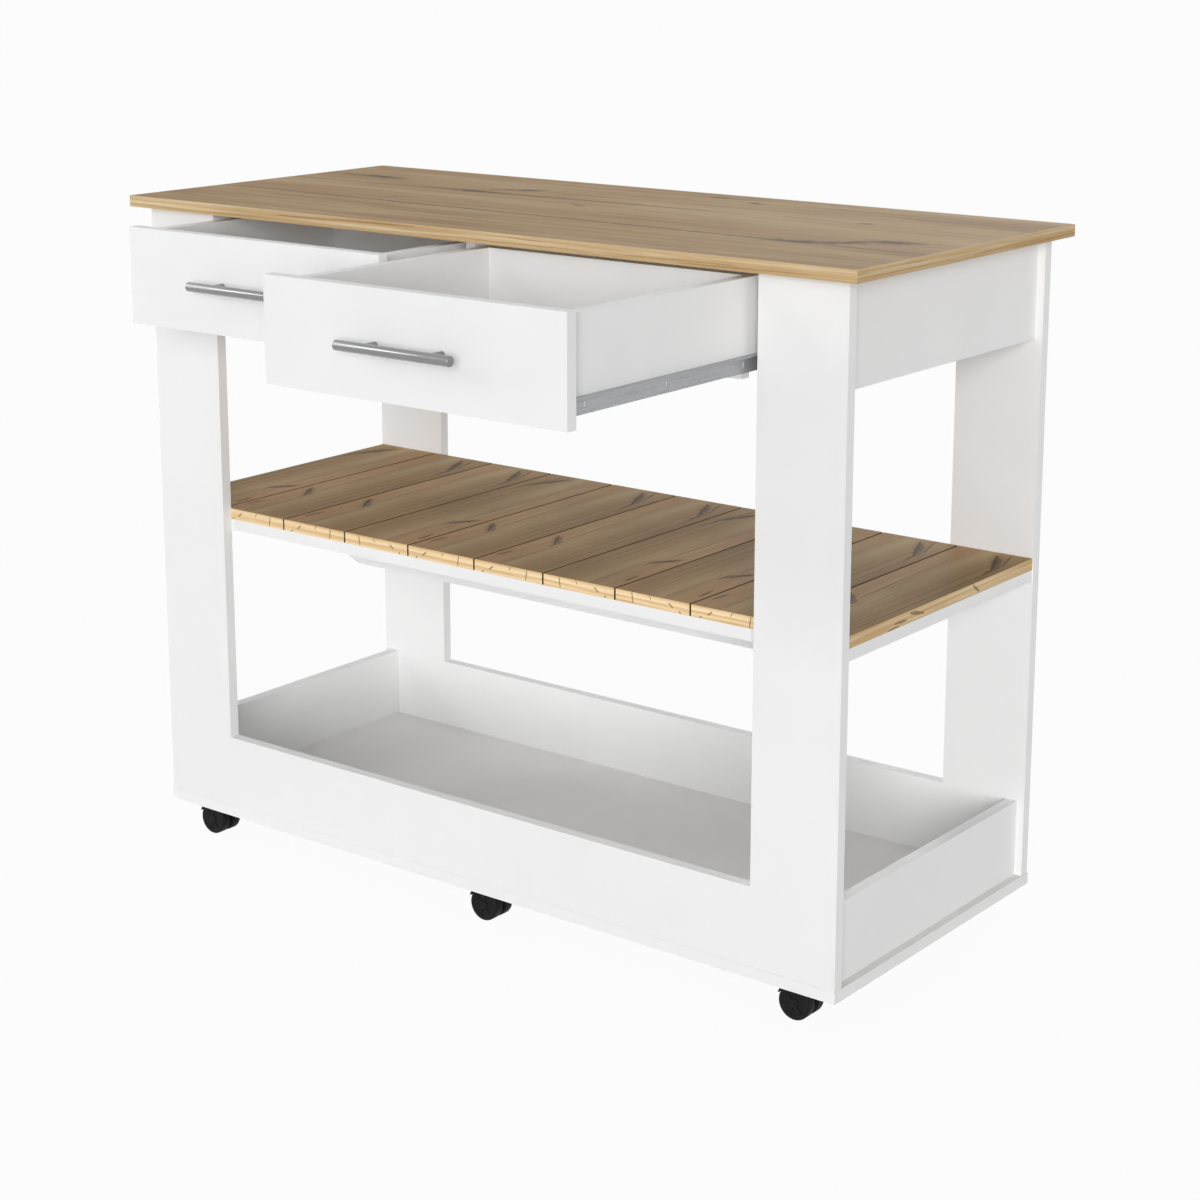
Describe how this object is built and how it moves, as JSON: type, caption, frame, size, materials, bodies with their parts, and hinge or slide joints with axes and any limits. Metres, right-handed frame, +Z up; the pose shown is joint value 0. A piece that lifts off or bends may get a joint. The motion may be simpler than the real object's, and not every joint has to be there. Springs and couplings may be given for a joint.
{
  "type": "kitchen island",
  "caption": "Kitchen island on twin-wheel casters: oak-look worktop, white panel legs, drawers on roller slides, slatted middle shelf and open bottom tray",
  "frame": {"origin": "on the floor, in the middle of the bounding box with the drawers open as pictured", "axes": "+X to the right as seen from the front, along the length; +Y from the front towards the back; +Z up"},
  "size_m": [1.16, 0.8576, 0.915],
  "materials": {
    "white_board": "white laminate, satin",
    "tray_board": "white laminate, satin",
    "oak_top": "oak-look laminate, matt",
    "oak_slat": "oak-look laminate, matt",
    "zinc_steel": "grey coated sheet",
    "brushed_steel": "brushed",
    "black_plastic": "moulded, satin"
  },
  "bodies": {
    "carcass": {"worktop": "oak_top", "front_leg_left": "white_board", "front_leg_right": "white_board", "rear_leg_left": "white_board", "rear_leg_right": "white_board", "front_apron": "white_board", "rear_apron": "white_board", "base_board": "tray_board", "tray_end_left": "white_board", "tray_end_right": "white_board", "upper_end_panel_left": "white_board", "upper_end_panel_right": "white_board", "drawer_partition_left": "white_board", "drawer_partition_right": "white_board", "centre_divider": "white_board", "upper_back_panel": "white_board", "shelf_board": "white_board", "shelf_stiffener": "white_board", "shelf_slat_1": "oak_slat", "shelf_slat_2": "oak_slat", "shelf_slat_3": "oak_slat", "shelf_slat_4": "oak_slat", "shelf_slat_5": "oak_slat", "shelf_slat_6": "oak_slat", "shelf_slat_7": "oak_slat", "shelf_slat_8": "oak_slat", "shelf_slat_9": "oak_slat", "shelf_slat_10": "oak_slat", "left_cabinet_channel_left": "zinc_steel", "left_cabinet_channel_right": "zinc_steel", "right_cabinet_channel_left": "zinc_steel", "right_cabinet_channel_right": "zinc_steel"},
    "left_drawer": {"left_drawer_front": "white_board", "left_drawer_side_left": "white_board", "left_drawer_side_right": "white_board", "left_drawer_back": "white_board", "left_drawer_bottom": "tray_board", "left_drawer_pull": "brushed_steel", "left_drawer_slide_left": "zinc_steel", "left_drawer_slide_right": "zinc_steel"},
    "right_drawer": {"right_drawer_front": "white_board", "right_drawer_side_left": "white_board", "right_drawer_side_right": "white_board", "right_drawer_back": "white_board", "right_drawer_bottom": "tray_board", "right_drawer_pull": "brushed_steel", "right_drawer_slide_left": "zinc_steel", "right_drawer_slide_right": "zinc_steel"},
    "front_left_caster": {"caster_front_left_swivel": "black_plastic"},
    "front_left_wheels": {"caster_front_left_wheels": "black_plastic"},
    "front_middle_caster": {"caster_front_middle_swivel": "black_plastic"},
    "front_middle_wheels": {"caster_front_middle_wheels": "black_plastic"},
    "front_right_caster": {"caster_front_right_swivel": "black_plastic"},
    "front_right_wheels": {"caster_front_right_wheels": "black_plastic"},
    "rear_left_caster": {"caster_rear_left_swivel": "black_plastic"},
    "rear_left_wheels": {"caster_rear_left_wheels": "black_plastic"},
    "rear_middle_caster": {"caster_rear_middle_swivel": "black_plastic"},
    "rear_middle_wheels": {"caster_rear_middle_wheels": "black_plastic"},
    "rear_right_caster": {"caster_rear_right_swivel": "black_plastic"},
    "rear_right_wheels": {"caster_rear_right_wheels": "black_plastic"}
  },
  "joints": [
    {"name": "left_drawer_slide", "type": "slide", "parent": "carcass", "child": "left_drawer", "axis": [0, -1, 0], "range_m": [-0.1484, 0.1996]},
    {"name": "right_drawer_slide", "type": "slide", "parent": "carcass", "child": "right_drawer", "axis": [0, -1, 0], "range_m": [-0.341, 0.007]},
    {"name": "front_left_caster_swivel", "type": "hinge", "parent": "carcass", "child": "front_left_caster", "pos_m": [-0.4975, -0.01375, 0.047], "axis": [0, 0, 1], "continuous": true},
    {"name": "front_left_wheels_roll", "type": "hinge", "parent": "front_left_caster", "child": "front_left_wheels", "pos_m": [-0.5085, -0.01375, 0.022], "axis": [0, 1, 0], "continuous": true},
    {"name": "front_middle_caster_swivel", "type": "hinge", "parent": "carcass", "child": "front_middle_caster", "pos_m": [0.012, -0.01375, 0.047], "axis": [0, 0, 1], "continuous": true},
    {"name": "front_middle_wheels_roll", "type": "hinge", "parent": "front_middle_caster", "child": "front_middle_wheels", "pos_m": [0.001, -0.01375, 0.022], "axis": [0, 1, 0], "continuous": true},
    {"name": "front_right_caster_swivel", "type": "hinge", "parent": "carcass", "child": "front_right_caster", "pos_m": [0.4975, -0.01375, 0.047], "axis": [0, 0, 1], "continuous": true},
    {"name": "front_right_wheels_roll", "type": "hinge", "parent": "front_right_caster", "child": "front_right_wheels", "pos_m": [0.4865, -0.01375, 0.022], "axis": [0, 1, 0], "continuous": true},
    {"name": "rear_left_caster_swivel", "type": "hinge", "parent": "carcass", "child": "rear_left_caster", "pos_m": [-0.4975, 0.36725, 0.047], "axis": [0, 0, 1], "continuous": true},
    {"name": "rear_left_wheels_roll", "type": "hinge", "parent": "rear_left_caster", "child": "rear_left_wheels", "pos_m": [-0.5085, 0.36725, 0.022], "axis": [0, 1, 0], "continuous": true},
    {"name": "rear_middle_caster_swivel", "type": "hinge", "parent": "carcass", "child": "rear_middle_caster", "pos_m": [0.012, 0.36725, 0.047], "axis": [0, 0, 1], "continuous": true},
    {"name": "rear_middle_wheels_roll", "type": "hinge", "parent": "rear_middle_caster", "child": "rear_middle_wheels", "pos_m": [0.001, 0.36725, 0.022], "axis": [0, 1, 0], "continuous": true},
    {"name": "rear_right_caster_swivel", "type": "hinge", "parent": "carcass", "child": "rear_right_caster", "pos_m": [0.4975, 0.36725, 0.047], "axis": [0, 0, 1], "continuous": true},
    {"name": "rear_right_wheels_roll", "type": "hinge", "parent": "rear_right_caster", "child": "rear_right_wheels", "pos_m": [0.4865, 0.36725, 0.022], "axis": [0, 1, 0], "continuous": true}
  ]
}
